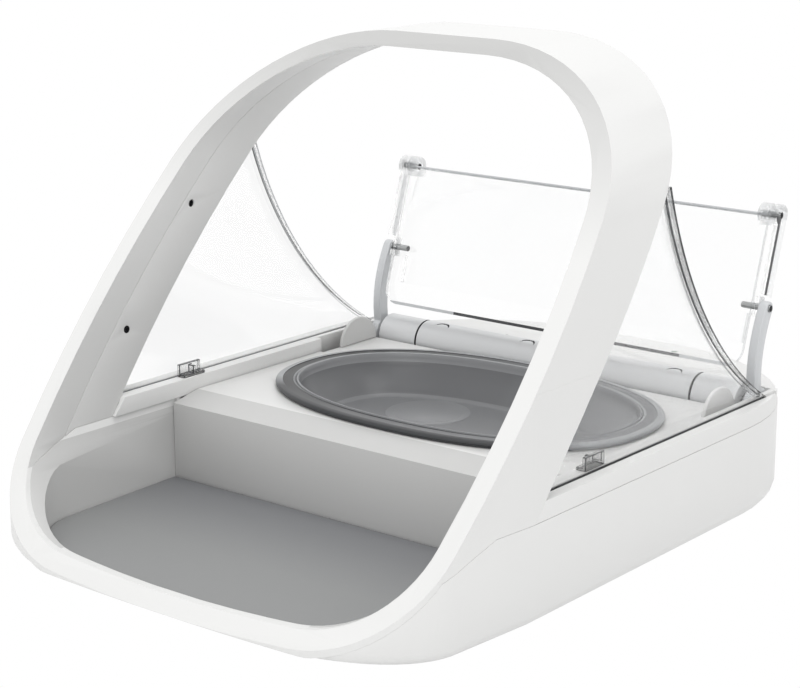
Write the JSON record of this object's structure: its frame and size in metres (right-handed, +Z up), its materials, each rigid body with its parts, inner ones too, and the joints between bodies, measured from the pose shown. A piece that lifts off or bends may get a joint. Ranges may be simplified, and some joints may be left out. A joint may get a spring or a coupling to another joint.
{
  "type": "microchip pet feeder",
  "caption": "Covered pet feeder: leaning arch with a tag-reading coil, clear side windows, oval bowl in a lift-out tray, soft mat and a clear folding lid driven from a shaft behind the bowl.",
  "frame": {"origin": "centre of the overall box, on the floor under the feet", "axes": "+X to the feeder's left-hand side as the animal looks out (right in the picture), +Y from the front lip to the rear, +Z up"},
  "size_m": [0.23, 0.3199, 0.2],
  "materials": {
    "white_shell": "satin",
    "pale_grey": "satin",
    "clear_window": "polished",
    "clear_lid": "polished",
    "bowl_grey": "satin",
    "dark_seal": "matte",
    "mat_grey": "matte",
    "dark_cap": "satin",
    "screw_steel": "satin",
    "coil_copper": "satin",
    "gear_nylon": "matte",
    "brass_gear": "satin",
    "motor_can": "satin",
    "board_green": "satin",
    "light_clear": "polished",
    "button_grey": "satin",
    "cell_sleeve": "satin",
    "contact_nickel": "satin",
    "foot_rubber": "matte",
    "lead_jacket": "matte"
  },
  "bodies": {
    "feeder_body": {"lower_shell": "white_shell", "upper_shell": "white_shell", "arch_front": "white_shell", "arch_rear": "white_shell", "arch_screws": "screw_steel", "antenna_coil": "coil_copper", "window_left": "clear_window", "window_right": "clear_window", "window_clips": "clear_window", "barrel_middle": "pale_grey", "barrel_left": "pale_grey", "barrel_right": "pale_grey", "shaft_blocks": "gear_nylon", "motor": "motor_can", "gear_plates": "gear_nylon", "circuit_board": "board_green", "light_guide": "light_clear", "battery_cells": "cell_sleeve", "battery_contacts": "contact_nickel", "feet": "foot_rubber", "base_screws": "screw_steel", "leads": "lead_jacket"},
    "lid_drive": {"lid_rear": "clear_lid", "fold_pins": "screw_steel", "arm_left": "pale_grey", "arm_right": "pale_grey", "arm_pins": "dark_cap", "drive_shaft": "screw_steel", "output_gear": "gear_nylon"},
    "lid_front_panel": {"lid_front": "clear_lid"},
    "idler": {"idler_gear": "gear_nylon"},
    "rotor": {"motor_pinion": "brass_gear"},
    "tray": {"bowl_tray": "white_shell", "tray_grips": "white_shell"},
    "bowl_set": {"bowl": "bowl_grey", "bowl_seal": "dark_seal"},
    "mat_piece": {"mat": "mat_grey"},
    "pairing": {"pairing_button": "button_grey"},
    "training": {"training_button": "button_grey"},
    "lid_switch": {"lid_button": "button_grey"},
    "door_left": {"battery_door_left": "white_shell"},
    "door_right": {"battery_door_right": "white_shell"}
  },
  "joints": [
    {"name": "lid_close", "type": "hinge", "parent": "feeder_body", "child": "lid_drive", "pos_m": [0, 0.0955, 0.0424], "axis": [1, 0, 0], "range_deg": [0, 86]},
    {"name": "lid_fold", "type": "hinge", "parent": "lid_drive", "child": "lid_front_panel", "pos_m": [0, 0.1125, 0.1217], "axis": [1, 0, 0], "range_deg": [-139.7, 0]},
    {"name": "idler_spin", "type": "hinge", "parent": "feeder_body", "child": "idler", "pos_m": [-0.0555, 0.1099, 0.02795], "axis": [1, 0, 0], "range_deg": [-43.1, 0]},
    {"name": "rotor_spin", "type": "hinge", "parent": "feeder_body", "child": "rotor", "pos_m": [-0.0555, 0.1258, 0.0204], "axis": [1, 0, 0], "range_deg": [0, 146.3]},
    {"name": "tray_lift", "type": "slide", "parent": "feeder_body", "child": "tray", "axis": [0, 0, 1], "range_m": [0, 0.06]},
    {"name": "bowl_lift", "type": "slide", "parent": "tray", "child": "bowl_set", "axis": [0, 0, 1], "range_m": [0, 0.05]},
    {"name": "mat_lift", "type": "slide", "parent": "feeder_body", "child": "mat_piece", "axis": [0, 0, 1], "range_m": [0, 0.05]},
    {"name": "pairing_press", "type": "slide", "parent": "feeder_body", "child": "pairing", "axis": [0, -1, 0], "range_m": [0, 0.0012], "stiffness_N_per_m": 600},
    {"name": "training_press", "type": "slide", "parent": "feeder_body", "child": "training", "axis": [0, -1, 0], "range_m": [0, 0.0012], "stiffness_N_per_m": 600},
    {"name": "lid_press", "type": "slide", "parent": "feeder_body", "child": "lid_switch", "axis": [0, -1, 0], "range_m": [0, 0.0012], "stiffness_N_per_m": 600},
    {"name": "door_left_drop", "type": "slide", "parent": "feeder_body", "child": "door_left", "axis": [0, 0, -1], "range_m": [0, 0.02]},
    {"name": "door_right_drop", "type": "slide", "parent": "feeder_body", "child": "door_right", "axis": [0, 0, -1], "range_m": [0, 0.02]}
  ],
  "couplings": [
    {"joint": "lid_fold", "follows": "lid_close", "ratio": -1.6233},
    {"joint": "idler_spin", "follows": "lid_close", "ratio": -0.5},
    {"joint": "rotor_spin", "follows": "lid_close", "ratio": 1.7}
  ]
}
